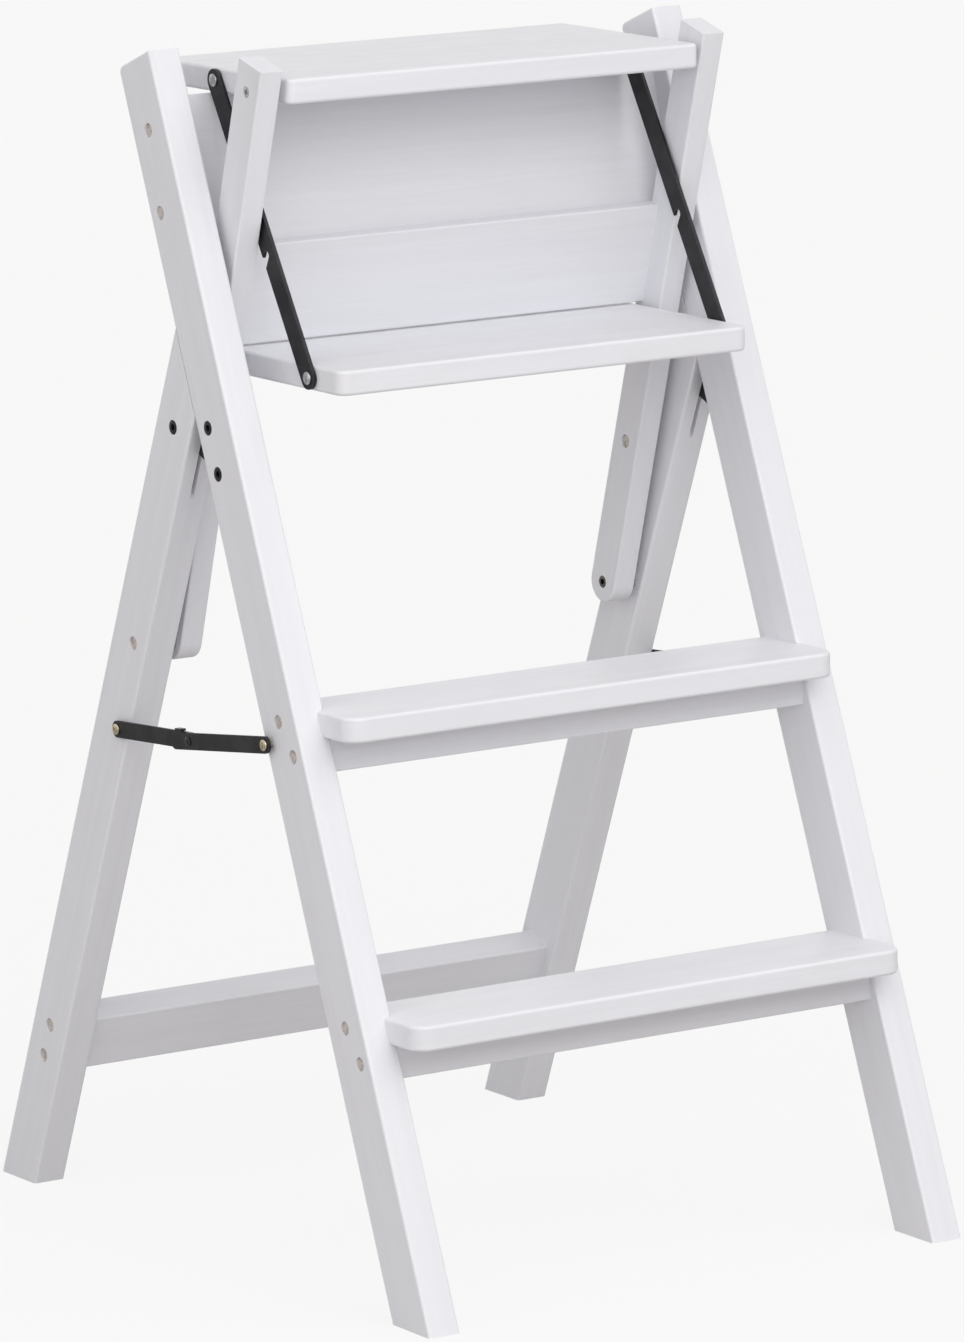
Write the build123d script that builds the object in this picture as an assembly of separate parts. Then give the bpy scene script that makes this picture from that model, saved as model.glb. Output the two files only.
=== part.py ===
from build123d import *

import os
from math import cos, hypot, radians, sin

# Folding step ladder in painted wood, in millimetres.
# +X is to the right, +Y to the back and +Z up, with the origin on the floor under the middle of the ladder.

# Side frames
WIDTH = 450.0
RAIL_THICKNESS = 25.0
RAIL_DEPTH = 43.5
FOOT_SPREAD = 569.5
FRONT_LEAN = radians(21.55)
REAR_LEAN = radians(-21.9)
FRONT_HEIGHT = 846.4764
RAIL_TOP_RADIUS = 5.0
RAIL_ARRIS = 2.0
MITRE_GAP = 0.3

# Hinge plates between the frames
HINGE_RISE = 630.5815
HINGE_PLATE_THICKNESS = 3.0
HINGE_PLATE_RADIUS = 10.0
HINGE_BOLT_RADIUS = 5.2
HINGE_BOLT_LENGTH = 21.0
HINGE_BOLT_DROP = 12.0
HINGE_BOLT_PITCH = 33.0
HINGE_BOLT_BACK = 7.75
KERF_GAP = 0.25
KERF_BELOW_PIVOT = 46.5
KERF_BEHIND_PIVOT = 11.5
SOCKET_ACROSS = 5.8
SOCKET_DEPTH = 3.0

# Treads and aprons of the front frame
TREAD_TOPS = (205.3, 405.9)
TREAD_THICKNESS = 18.0
TREAD_OVERHANG = 41.0
TREAD_LAP = 6.0
TREAD_CORNER_RADIUS = 14.0
APRON_HEIGHT = 25.0
APRON_THICKNESS = 17.0
APRON_SET_BACK = 5.0
BOARD_ARRIS = 2.5

# Upper panel between the rail tops
UPPER_PANEL_LEAN = radians(13.5)
UPPER_PANEL_THICKNESS = 10.0
UPPER_PANEL_HEIGHT = 110.0
UPPER_PANEL_SET_BACK = 5.8
UPPER_PANEL_SCREW_INSETS = (22.0, 30.0)
PANEL_ARRIS = 1.5

# Screws and plugs
SCREW_RADIUS = 2.4
SCREW_HEAD_RADIUS = 4.0
SCREW_HEAD_HEIGHT = 2.5
SCREW_BITE = 28.0
PLUG_RADIUS = 5.0
PLUG_DEPTH = 6.0
PLUG_RECESS = 1.2
HOLE_GAP = 0.06

# Rear crossbar
CROSSBAR_RISE = 120.2
CROSSBAR_HEIGHT = 42.0
CROSSBAR_THICKNESS = 25.0
CROSSBAR_SCREW_PITCH = 26.0

# Swing arms and lower panel
ARM_LEAN = radians(-15.89)
ARM_PIVOT_RISE = 458.6815
ARM_PIVOT_BACK = -5.5
ARM_PIVOT_RADIUS = 4.5
ARM_GAP = 5.5
ARM_THICKNESS = 18.0
ARM_DEPTH = 30.0
ARM_LENGTH = 434.0
ARM_ARRIS = 1.5
ARM_PLUG_RISE = 112.4
SPACER_RADIUS = 9.0
SPACER_GAP = 0.2
LOWER_PANEL_THICKNESS = 9.0
LOWER_PANEL_LOW_RISE = 219.5
LOWER_PANEL_HIGH_RISE = 295.0
LOWER_PANEL_SCREW_INSET = 16.0

# Platform and upper step, both turning on the arms
BOARD_THICKNESS = 17.6
BOARD_END_GAP = 4.5
PLATFORM_PIVOT_RISE = 414.3
PLATFORM_FRONT = 20.2
PLATFORM_REAR = 150.5
PLATFORM_CORNER_RADIUS = 5.0
PLATFORM_REST_GAP = 0.3
STEP_PIVOT_RISE = 211.1
STEP_FRONT = 135.4
STEP_REAR = 16.0
STEP_CORNER_RADIUS = 9.0
PIVOT_SCREW_RADIUS = 3.0
PIVOT_SCREW_BITE = 30.0

# Notched links from platform to upper step
LINK_WIDTH = 16.0
LINK_THICKNESS = 2.5
LINK_BOARD_GAP = 0.4
LINK_PLATFORM_REACH = 73.7
LINK_STEP_REACH = 97.6
LINK_SCREW_RADIUS = 2.5
LINK_HEAD_RADIUS = 4.6
LINK_HEAD_HEIGHT = 1.1
LINK_PLAY = 0.1
NOTCH_SHARE = 0.585
NOTCH_RADIUS = 3.3
NOTCH_DEPTH = 5.0
NOTCH_SLANT = radians(35.0)

# Side stays
STAY_WIDTH = 12.0
STAY_THICKNESS = 2.0
STAY_RAIL_GAP = 1.2
STAY_LAYER_GAP = 0.3
STAY_FRONT_RISE = 414.5
STAY_FRONT_BACK = 15.0
STAY_REAR_RISE = 391.9
STAY_REAR_BACK = -11.7
STAY_SAG = 3.0
STAY_SCREW_RADIUS = 2.6
STAY_HEAD_RADIUS = 4.0
STAY_HEAD_HEIGHT = 1.6
STAY_SHOULDER_RADIUS = 4.0
STAY_SCREW_BITE = 18.0
STAY_TAIL_LENGTH = 17.0
STAY_LIP_LENGTH = 8.0
STAY_LIP_THICKNESS = 1.6
STAY_LIP_GAP = 0.4
RIVET_RADIUS = 3.5
RIVET_TAIL_HEIGHT = 0.6

# Layers across the width, on the right-hand side
rail_outer = WIDTH / 2
rail_inner = rail_outer - RAIL_THICKNESS
rail_middle = rail_outer - RAIL_THICKNESS / 2
arm_outer = rail_inner - ARM_GAP
arm_inner = arm_outer - ARM_THICKNESS
board_end = arm_inner - BOARD_END_GAP
link_inner = board_end + LINK_BOARD_GAP
link_outer = link_inner + LINK_THICKNESS
stay_rear_inner = rail_outer + STAY_RAIL_GAP
stay_rear_outer = stay_rear_inner + STAY_THICKNESS
stay_front_inner = stay_rear_outer + STAY_LAYER_GAP
stay_front_outer = stay_front_inner + STAY_THICKNESS
hinge_bolt_end = rail_outer - HINGE_BOLT_LENGTH

# Side lines of the leaning members: a point of the centreline at floor level, and a lean
front_foot = (-FOOT_SPREAD / 2 + RAIL_DEPTH / 2 / cos(FRONT_LEAN), 0.0)
rear_foot = (FOOT_SPREAD / 2 - RAIL_DEPTH / 2 / cos(REAR_LEAN), 0.0)


def on_member(start, lean, rise, back=0.0):
    """Give the (Y, Z) point at a rise along a leaning member and a distance behind its centreline."""
    y = start[0] + rise * sin(lean) + back * cos(lean)
    z = start[1] + rise * cos(lean) - back * sin(lean)
    return (y, z)


def at_height(start, lean, height, back=0.0):
    """Give the (Y, Z) point of a member's parallel line where it reaches a height."""
    rise = (height - start[1] + back * sin(lean)) / cos(lean)
    return on_member(start, lean, rise, back)


def crossing(first, second):
    """Give the point where two member lines (start, lean, back) cross."""
    start_one = on_member(first[0], first[1], 0.0, first[2])
    start_two = on_member(second[0], second[1], 0.0, second[2])
    apart_y = start_two[0] - start_one[0]
    apart_z = start_two[1] - start_one[1]
    turn = sin(second[1] - first[1])
    rise = (apart_z * sin(second[1]) - apart_y * cos(second[1])) / turn
    return on_member(start_one, first[1], rise)


def between(start, end, share):
    """Give the point at a share of the way from one point to another."""
    return (start[0] + share * (end[0] - start[0]), start[1] + share * (end[1] - start[1]))


def unit(start, end):
    """Give the direction from one point of the side view to another."""
    length = hypot(end[0] - start[0], end[1] - start[1])
    return ((end[0] - start[0]) / length, (end[1] - start[1]) / length)


def side_plane(x):
    """Give the side-view plane at X, with its axes along Y and Z."""
    return Plane.YZ.offset(x)


def slab(outline, x_low, x_high):
    """Extrude a side outline of (Y, Z) points across the width."""
    face = make_face(Polyline(*outline, close=True))
    return extrude(side_plane(x_low) * face, amount=x_high - x_low, dir=(1, 0, 0))


def rod(centre, radius, x_low, x_high):
    """Make a round bar across the width."""
    disc = side_plane(x_low) * Pos(centre[0], centre[1]) * Circle(radius)
    return extrude(disc, amount=x_high - x_low, dir=(1, 0, 0))


def bar(start, end, width, x_low, x_high):
    """Make a flat bar with round ends between two points of the side view."""
    along = unit(start, end)
    across = (-along[1] * width / 2, along[0] * width / 2)
    outline = [
        (start[0] + across[0], start[1] + across[1]),
        (end[0] + across[0], end[1] + across[1]),
        (end[0] - across[0], end[1] - across[1]),
        (start[0] - across[0], start[1] - across[1]),
    ]
    straight = slab(outline, x_low, x_high)
    return straight + rod(start, width / 2, x_low, x_high) + rod(end, width / 2, x_low, x_high)


def level_board(half_length, y_low, y_high, z_low, z_high, corner_radius):
    """Make a flat board across the width with round front corners and soft arrises."""
    size = (2 * half_length, y_high - y_low, z_high - z_low)
    board = Pos(0, (y_low + y_high) / 2, (z_low + z_high) / 2) * Box(*size)
    front_corners = board.edges().filter_by(Axis.Z).sort_by(Axis.Y)[:2]
    board = fillet(front_corners, corner_radius)
    rims = board.faces().filter_by(Axis.Z).edges()
    return fillet(rims, BOARD_ARRIS)


def socket_rod(centre, radius, x_low, x_high):
    """Make a round bolt whose outer end has a hexagon socket."""
    hexagon = Pos(centre[0], centre[1]) * RegularPolygon(SOCKET_ACROSS / 2, 6)
    socket = extrude(side_plane(x_high - SOCKET_DEPTH) * hexagon, amount=SOCKET_DEPTH, dir=(1, 0, 0))
    return rod(centre, radius, x_low, x_high) - socket


def mirrored(solid):
    """Give the left-hand twin of a right-hand solid."""
    return mirror(solid, about=Plane.YZ)


def both_sides(solids):
    """Give a list of right-hand solids with their left-hand twins."""
    return list(solids) + [mirrored(solid) for solid in solids]


def screw_seat(centre, outer, inner):
    """Give the cutter for one plugged screw: the bore of plug and head, and the shank hole."""
    bore_depth = PLUG_RECESS + PLUG_DEPTH + SCREW_HEAD_HEIGHT
    bore = rod(centre, PLUG_RADIUS + HOLE_GAP, outer - bore_depth, outer)
    return bore + rod(centre, SCREW_RADIUS + HOLE_GAP, inner - SCREW_BITE - HOLE_GAP, outer - bore_depth)


def screw(centre, outer, inner):
    """Make one screw, with its head under the plug and its shank in the next piece."""
    under_head = outer - PLUG_RECESS - PLUG_DEPTH - SCREW_HEAD_HEIGHT
    head = rod(centre, SCREW_HEAD_RADIUS, under_head, under_head + SCREW_HEAD_HEIGHT)
    return head + rod(centre, SCREW_RADIUS, inner - SCREW_BITE, under_head)


def plug(centre, outer):
    """Make the round plug that hides a screw head."""
    top = outer - PLUG_RECESS
    return rod(centre, PLUG_RADIUS, top - PLUG_DEPTH, top)


# Points of the side view that several pieces share
hinge_pivot = on_member(rear_foot, REAR_LEAN, HINGE_RISE)
arm_pivot = on_member(rear_foot, REAR_LEAN, ARM_PIVOT_RISE, ARM_PIVOT_BACK)
platform_pivot = on_member(arm_pivot, ARM_LEAN, PLATFORM_PIVOT_RISE)
step_pivot = on_member(arm_pivot, ARM_LEAN, STEP_PIVOT_RISE)
link_top = (platform_pivot[0] + LINK_PLATFORM_REACH, platform_pivot[1])
link_foot = (step_pivot[0] - LINK_STEP_REACH, step_pivot[1])
stay_front_pivot = on_member(front_foot, FRONT_LEAN, STAY_FRONT_RISE, STAY_FRONT_BACK)
stay_rear_pivot = on_member(rear_foot, REAR_LEAN, STAY_REAR_RISE, STAY_REAR_BACK)
stay_middle = between(stay_front_pivot, stay_rear_pivot, 0.5)
stay_centre = (stay_middle[0], stay_middle[1] - STAY_SAG)


def rise_on_front(point):
    """Give how far along the front rail a point of the side view lies."""
    return (point[0] - front_foot[0]) * sin(FRONT_LEAN) + (point[1] - front_foot[1]) * cos(FRONT_LEAN)


hinge_bolt_high = rise_on_front(hinge_pivot) - HINGE_BOLT_DROP
hinge_bolt_rises = (hinge_bolt_high, hinge_bolt_high - HINGE_BOLT_PITCH)
hinge_bolt_points = [on_member(front_foot, FRONT_LEAN, rise, HINGE_BOLT_BACK) for rise in hinge_bolt_rises]

platform_under = platform_pivot[1] - BOARD_THICKNESS / 2
upper_panel_top = platform_under - PLATFORM_REST_GAP
upper_panel_half_rise = UPPER_PANEL_HEIGHT / 2 * cos(UPPER_PANEL_LEAN)
upper_panel_front_lift = UPPER_PANEL_THICKNESS / 2 * sin(UPPER_PANEL_LEAN)
upper_panel_middle_height = upper_panel_top - upper_panel_half_rise - upper_panel_front_lift
upper_panel_on_rail = at_height(front_foot, FRONT_LEAN, upper_panel_middle_height)
upper_panel_middle = (upper_panel_on_rail[0] + UPPER_PANEL_SET_BACK, upper_panel_middle_height)
upper_panel_screw_points = [
    on_member(upper_panel_middle, UPPER_PANEL_LEAN, UPPER_PANEL_HEIGHT / 2 - UPPER_PANEL_SCREW_INSETS[0]),
    on_member(upper_panel_middle, UPPER_PANEL_LEAN, UPPER_PANEL_SCREW_INSETS[1] - UPPER_PANEL_HEIGHT / 2),
]


def apron_middle(tread_top):
    """Give the middle of the apron under a tread."""
    height = tread_top - TREAD_THICKNESS - APRON_HEIGHT / 2
    front = at_height(front_foot, FRONT_LEAN, height, -RAIL_DEPTH / 2)
    return (front[0] + APRON_SET_BACK + APRON_THICKNESS / 2, height)


def tread_screw_point(tread_top):
    """Give the screw of a tread, on the rail's centreline at the middle of the board."""
    return at_height(front_foot, FRONT_LEAN, tread_top - TREAD_THICKNESS / 2)


front_screw_points = list(upper_panel_screw_points)
for top in TREAD_TOPS:
    front_screw_points += [tread_screw_point(top), apron_middle(top)]

crossbar_screw_rises = (CROSSBAR_RISE + CROSSBAR_SCREW_PITCH / 2, CROSSBAR_RISE - CROSSBAR_SCREW_PITCH / 2)
crossbar_screw_points = [on_member(rear_foot, REAR_LEAN, rise) for rise in crossbar_screw_rises]
lower_panel_back = ARM_DEPTH / 2 - LOWER_PANEL_THICKNESS / 2
lower_panel_screw_rises = (
    LOWER_PANEL_LOW_RISE + LOWER_PANEL_SCREW_INSET,
    LOWER_PANEL_HIGH_RISE - LOWER_PANEL_SCREW_INSET,
)
lower_panel_screw_points = [
    on_member(arm_pivot, ARM_LEAN, rise, lower_panel_back) for rise in lower_panel_screw_rises
]
arm_plug_point = on_member(arm_pivot, ARM_LEAN, ARM_PLUG_RISE)


def front_rail_blank():
    """Make the right front rail before it is bored: foot cut level, top cut square, rear top corner round."""
    front_top = at_height(front_foot, FRONT_LEAN, FRONT_HEIGHT, -RAIL_DEPTH / 2)
    rear_top = (front_top[0] + RAIL_DEPTH * cos(FRONT_LEAN), front_top[1] - RAIL_DEPTH * sin(FRONT_LEAN))
    outline = [
        at_height(front_foot, FRONT_LEAN, 0.0, -RAIL_DEPTH / 2),
        at_height(front_foot, FRONT_LEAN, 0.0, RAIL_DEPTH / 2),
        rear_top,
        front_top,
    ]
    blank = slab(outline, rail_inner, rail_outer)
    top_corner = blank.edges().filter_by(Axis.X).sort_by_distance((rail_middle, *rear_top))[0]
    blank = fillet(top_corner, RAIL_TOP_RADIUS)
    return fillet(blank.edges().filter_by(lambda edge: edge.length > FRONT_HEIGHT / 2), RAIL_ARRIS)


def hinge_plate():
    """Make the right hinge plate: a flat hull round its pivot and its two bolts."""
    centres = [hinge_pivot, *hinge_bolt_points]
    rims = [(Pos(y, z) * Circle(HINGE_PLATE_RADIUS)).edge() for y, z in centres]
    hull = make_hull(rims)
    low = rail_middle - HINGE_PLATE_THICKNESS / 2
    high = rail_middle + HINGE_PLATE_THICKNESS / 2
    plate = extrude(side_plane(low) * hull, amount=HINGE_PLATE_THICKNESS, dir=(1, 0, 0))
    for centre in centres:
        plate -= rod(centre, HINGE_BOLT_RADIUS + HOLE_GAP, low, high)
    return plate


def front_kerf():
    """Give the cutter of the saw kerf in the front rail, open at the rail's rear edge."""
    low = rail_middle - HINGE_PLATE_THICKNESS / 2 - KERF_GAP
    high = rail_middle + HINGE_PLATE_THICKNESS / 2 + KERF_GAP
    room = HINGE_PLATE_RADIUS + KERF_GAP
    inner = HINGE_BOLT_BACK - room
    rise_low = hinge_bolt_rises[1] - room
    rise_high = rise_on_front(hinge_pivot) + room
    corners = [(rise_low, inner), (rise_low, RAIL_DEPTH), (rise_high, RAIL_DEPTH), (rise_high, inner)]
    outline = [on_member(front_foot, FRONT_LEAN, rise, back) for rise, back in corners]
    return slab(outline, low, high)


def rear_kerf():
    """Give the cutter of the saw kerf in the rear leg, open at its front edge and its mitre."""
    low = rail_middle - HINGE_PLATE_THICKNESS / 2 - KERF_GAP
    high = rail_middle + HINGE_PLATE_THICKNESS / 2 + KERF_GAP
    above_mitre = RAIL_DEPTH * 2
    corners = [
        (-KERF_BELOW_PIVOT, -RAIL_DEPTH),
        (-KERF_BELOW_PIVOT, -RAIL_DEPTH / 2),
        (-KERF_BEHIND_PIVOT, KERF_BEHIND_PIVOT),
        (above_mitre, KERF_BEHIND_PIVOT),
        (above_mitre, -RAIL_DEPTH),
    ]
    outline = [on_member(hinge_pivot, REAR_LEAN, rise, back) for rise, back in corners]
    return slab(outline, low, high)


def stay_screw_hole(centre):
    """Give the cutter of a stay screw's blind hole in the outer face of a rail."""
    return rod(centre, STAY_SCREW_RADIUS + HOLE_GAP, rail_outer - STAY_SCREW_BITE - HOLE_GAP, rail_outer)


def front_rail():
    """Make the right front rail with its screw bores, hinge kerf, bolt holes and stay hole."""
    rail = front_rail_blank() - front_kerf() - stay_screw_hole(stay_front_pivot)
    for centre in front_screw_points:
        rail -= screw_seat(centre, rail_outer, rail_inner)
    for centre in hinge_bolt_points:
        rail -= rod(centre, HINGE_BOLT_RADIUS + HOLE_GAP, hinge_bolt_end - HOLE_GAP, rail_outer)
    return rail


def rear_leg():
    """Make the right rear leg, mitred along the rear edge of the front rail."""
    mitre = (front_foot, FRONT_LEAN, RAIL_DEPTH / 2 + MITRE_GAP)
    outline = [
        at_height(rear_foot, REAR_LEAN, 0.0, -RAIL_DEPTH / 2),
        at_height(rear_foot, REAR_LEAN, 0.0, RAIL_DEPTH / 2),
        crossing((rear_foot, REAR_LEAN, RAIL_DEPTH / 2), mitre),
        crossing((rear_foot, REAR_LEAN, -RAIL_DEPTH / 2), mitre),
    ]
    leg = slab(outline, rail_inner, rail_outer)
    leg = fillet(leg.edges().filter_by(lambda edge: edge.length > hinge_pivot[1] / 2), RAIL_ARRIS)
    leg = leg - rear_kerf() - stay_screw_hole(stay_rear_pivot)
    leg -= rod(hinge_pivot, HINGE_BOLT_RADIUS + HOLE_GAP, hinge_bolt_end - HOLE_GAP, rail_outer)
    for centre in crossbar_screw_points:
        leg -= screw_seat(centre, rail_outer, rail_inner)
    plug_floor = rail_outer - PLUG_RECESS - PLUG_DEPTH
    leg -= rod(arm_pivot, PLUG_RADIUS + HOLE_GAP, plug_floor, rail_outer)
    return leg - rod(arm_pivot, ARM_PIVOT_RADIUS + HOLE_GAP, rail_inner, plug_floor)


def tread(tread_top):
    """Make a tread: between the rails behind their front edges, and lapping them at the nosing."""
    under = tread_top - TREAD_THICKNESS
    front = at_height(front_foot, FRONT_LEAN, tread_top, -RAIL_DEPTH / 2)[0] - TREAD_OVERHANG
    rear = at_height(front_foot, FRONT_LEAN, under, RAIL_DEPTH / 2)[0]
    board = level_board(rail_inner + TREAD_LAP, front, rear, under, tread_top, TREAD_CORNER_RADIUS)
    blank = front_rail_blank()
    board = board - blank - mirrored(blank)
    board = board.solids().sort_by(SortBy.VOLUME)[-1]
    for cutter in both_sides([screw_seat(tread_screw_point(tread_top), rail_outer, rail_inner)]):
        board -= cutter
    return board


def apron(tread_top):
    """Make the apron that stands under a tread, between the rails."""
    middle = apron_middle(tread_top)
    size = (2 * rail_inner, APRON_THICKNESS, APRON_HEIGHT)
    board = Pos(0, middle[0], middle[1]) * Box(*size)
    low_edges = board.edges().filter_by(Axis.X).sort_by(Axis.Z)[:2]
    board = fillet(low_edges, PANEL_ARRIS)
    for cutter in both_sides([screw_seat(middle, rail_outer, rail_inner)]):
        board -= cutter
    return board


def leaning_board(start, lean, rises, backs, half_length):
    """Make a flat board across the width that leans in the side view, with soft long arrises."""
    corners = [(rises[0], backs[0]), (rises[0], backs[1]), (rises[1], backs[1]), (rises[1], backs[0])]
    outline = [on_member(start, lean, rise, back) for rise, back in corners]
    board = slab(outline, -half_length, half_length)
    return fillet(board.edges().filter_by(Axis.X), PANEL_ARRIS)


def upper_panel():
    """Make the upper panel, whose top edge carries the platform."""
    rises = (-UPPER_PANEL_HEIGHT / 2, UPPER_PANEL_HEIGHT / 2)
    backs = (-UPPER_PANEL_THICKNESS / 2, UPPER_PANEL_THICKNESS / 2)
    board = leaning_board(upper_panel_middle, UPPER_PANEL_LEAN, rises, backs, rail_inner)
    seats = [screw_seat(point, rail_outer, rail_inner) for point in upper_panel_screw_points]
    for cutter in both_sides(seats):
        board -= cutter
    return board


def rear_crossbar():
    """Make the crossbar that ties the rear legs, in line with them."""
    rises = (CROSSBAR_RISE - CROSSBAR_HEIGHT / 2, CROSSBAR_RISE + CROSSBAR_HEIGHT / 2)
    backs = (-CROSSBAR_THICKNESS / 2, CROSSBAR_THICKNESS / 2)
    board = leaning_board(rear_foot, REAR_LEAN, rises, backs, rail_inner)
    seats = [screw_seat(point, rail_outer, rail_inner) for point in crossbar_screw_points]
    for cutter in both_sides(seats):
        board -= cutter
    return board


def arm():
    """Make the right swing arm: round at its foot, cut square at its top."""
    half = ARM_DEPTH / 2
    corners = [(0.0, -half), (0.0, half), (ARM_LENGTH, half), (ARM_LENGTH, -half)]
    outline = [on_member(arm_pivot, ARM_LEAN, rise, back) for rise, back in corners]
    blank = slab(outline, arm_inner, arm_outer) + rod(arm_pivot, ARM_DEPTH / 2, arm_inner, arm_outer)
    blank = fillet(blank.edges().filter_by(lambda edge: edge.length > ARM_LENGTH / 2), ARM_ARRIS)
    blank -= rod(arm_pivot, ARM_PIVOT_RADIUS + HOLE_GAP, arm_inner, arm_outer)
    for centre in (platform_pivot, step_pivot):
        blank -= pivot_seat(centre)
    for centre in lower_panel_screw_points:
        blank -= rod(centre, SCREW_RADIUS + HOLE_GAP, arm_inner, arm_outer)
        blank -= rod(centre, SCREW_HEAD_RADIUS + HOLE_GAP, arm_outer - SCREW_HEAD_HEIGHT, arm_outer)
    plug_room = PLUG_DEPTH + PLUG_RECESS
    return blank - rod(arm_plug_point, PLUG_RADIUS + HOLE_GAP, arm_inner, arm_inner + plug_room)


def pivot_seat(centre):
    """Give the cutter of a board's pivot screw in the arm, with its head sunk in the outer face."""
    head = rod(centre, SCREW_HEAD_RADIUS + HOLE_GAP, arm_outer - SCREW_HEAD_HEIGHT, arm_outer)
    return head + rod(centre, PIVOT_SCREW_RADIUS + HOLE_GAP, arm_inner, arm_outer)


def pivot_screw(centre):
    """Make the screw on which a board turns, held in the arm and reaching into the board's end."""
    head = rod(centre, SCREW_HEAD_RADIUS, arm_outer - SCREW_HEAD_HEIGHT, arm_outer)
    return head + rod(centre, PIVOT_SCREW_RADIUS, board_end - PIVOT_SCREW_BITE, arm_outer - SCREW_HEAD_HEIGHT)


def pivot_hole(centre):
    """Give the cutter of a pivot screw's hole in a board's end."""
    return rod(centre, PIVOT_SCREW_RADIUS + HOLE_GAP, board_end - PIVOT_SCREW_BITE - HOLE_GAP, board_end)


def lower_panel():
    """Make the lower panel between the arms, flush with their rear edges."""
    rises = (LOWER_PANEL_LOW_RISE, LOWER_PANEL_HIGH_RISE)
    backs = (ARM_DEPTH / 2 - LOWER_PANEL_THICKNESS, ARM_DEPTH / 2)
    board = leaning_board(arm_pivot, ARM_LEAN, rises, backs, arm_inner)
    holes = [
        rod(point, SCREW_RADIUS + HOLE_GAP, arm_inner - SCREW_BITE - HOLE_GAP, arm_inner)
        for point in lower_panel_screw_points
    ]
    for cutter in both_sides(holes):
        board -= cutter
    return board


def lower_panel_screw(centre):
    """Make one screw through an arm into the end of the lower panel."""
    head = rod(centre, SCREW_HEAD_RADIUS, arm_outer - SCREW_HEAD_HEIGHT, arm_outer)
    return head + rod(centre, SCREW_RADIUS, arm_inner - SCREW_BITE, arm_outer - SCREW_HEAD_HEIGHT)


def platform():
    """Make the platform, which turns on the arms and rests on the upper panel."""
    low = platform_pivot[1] - BOARD_THICKNESS / 2
    front = platform_pivot[0] - PLATFORM_FRONT
    rear = platform_pivot[0] + PLATFORM_REAR
    board = level_board(board_end, front, rear, low, low + BOARD_THICKNESS, PLATFORM_CORNER_RADIUS)
    hole_floor = board_end - PIVOT_SCREW_BITE - HOLE_GAP
    link_hole = rod(link_top, LINK_SCREW_RADIUS + HOLE_GAP, hole_floor, board_end)
    for cutter in both_sides([pivot_hole(platform_pivot), link_hole]):
        board -= cutter
    return board


def upper_step():
    """Make the upper step, which turns on the arms under the lower panel."""
    low = step_pivot[1] - BOARD_THICKNESS / 2
    front = step_pivot[0] - STEP_FRONT
    rear = step_pivot[0] + STEP_REAR
    board = level_board(board_end, front, rear, low, low + BOARD_THICKNESS, STEP_CORNER_RADIUS)
    for cutter in both_sides([pivot_hole(step_pivot)]):
        board -= cutter
    return board


def link():
    """Make the right link, with a hook notch in its rear lower edge."""
    blank = bar(link_top, link_foot, LINK_WIDTH, link_inner, link_outer)
    down = unit(link_top, link_foot)
    rear = (-down[1], down[0])
    on_line = between(link_top, link_foot, NOTCH_SHARE)
    to_root = LINK_WIDTH / 2 - NOTCH_DEPTH
    root = (on_line[0] + to_root * rear[0], on_line[1] + to_root * rear[1])
    way_out = (
        cos(NOTCH_SLANT) * rear[0] + sin(NOTCH_SLANT) * down[0],
        cos(NOTCH_SLANT) * rear[1] + sin(NOTCH_SLANT) * down[1],
    )
    mouth = (root[0] + LINK_WIDTH * way_out[0], root[1] + LINK_WIDTH * way_out[1])
    blank -= bar(root, mouth, 2 * NOTCH_RADIUS, link_inner, link_outer)
    for centre in (link_top, link_foot):
        blank -= rod(centre, LINK_SCREW_RADIUS + HOLE_GAP, link_inner, link_outer)
    return blank


def link_upper_screw():
    """Make the screw that holds a link to the platform's end."""
    under_head = link_outer + LINK_PLAY
    head = rod(link_top, LINK_HEAD_RADIUS, under_head, under_head + LINK_HEAD_HEIGHT)
    return head + rod(link_top, LINK_SCREW_RADIUS, board_end - PIVOT_SCREW_BITE, under_head)


def link_lower_screw():
    """Make the pivot of a link at the upper step's front corner, seated in the link."""
    head = rod(link_foot, LINK_HEAD_RADIUS, link_outer, link_outer + LINK_HEAD_HEIGHT)
    return head + rod(link_foot, LINK_SCREW_RADIUS, link_inner, link_outer)


def stay_front_bar():
    """Make the right stay's front bar, with a tail past the rivet whose lip stops the rear bar."""
    along = unit(stay_front_pivot, stay_centre)
    tail = (stay_centre[0] + STAY_TAIL_LENGTH * along[0], stay_centre[1] + STAY_TAIL_LENGTH * along[1])
    blank = bar(stay_front_pivot, tail, STAY_WIDTH, stay_front_inner, stay_front_outer)
    blank -= rod(stay_front_pivot, STAY_SCREW_RADIUS + HOLE_GAP, stay_front_inner, stay_front_outer)
    rear_along = unit(stay_centre, stay_rear_pivot)
    rear_up = (-rear_along[1], rear_along[0])

    def over_rear_bar(far, high):
        y = stay_centre[0] + far * rear_along[0] + high * rear_up[0]
        z = stay_centre[1] + far * rear_along[1] + high * rear_up[1]
        return (y, z)

    near = STAY_TAIL_LENGTH - STAY_LIP_LENGTH
    far = STAY_TAIL_LENGTH
    low = STAY_WIDTH / 2 + STAY_LIP_GAP
    high = low + STAY_LIP_THICKNESS
    top = [over_rear_bar(far, high), over_rear_bar(near, high)]
    lip = [over_rear_bar(near, low), over_rear_bar(far, low), *top]
    stem = [over_rear_bar(near, 0.0), over_rear_bar(far, 0.0), *top]
    blank += slab(stem, stay_front_inner, stay_front_outer)
    return blank + slab(lip, stay_rear_inner, stay_front_inner)


def stay_rear_bar():
    """Make the right stay's rear bar, which lies against the rear leg."""
    blank = bar(stay_rear_pivot, stay_centre, STAY_WIDTH, stay_rear_inner, stay_rear_outer)
    return blank - rod(stay_rear_pivot, STAY_SCREW_RADIUS + HOLE_GAP, stay_rear_inner, stay_rear_outer)


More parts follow.
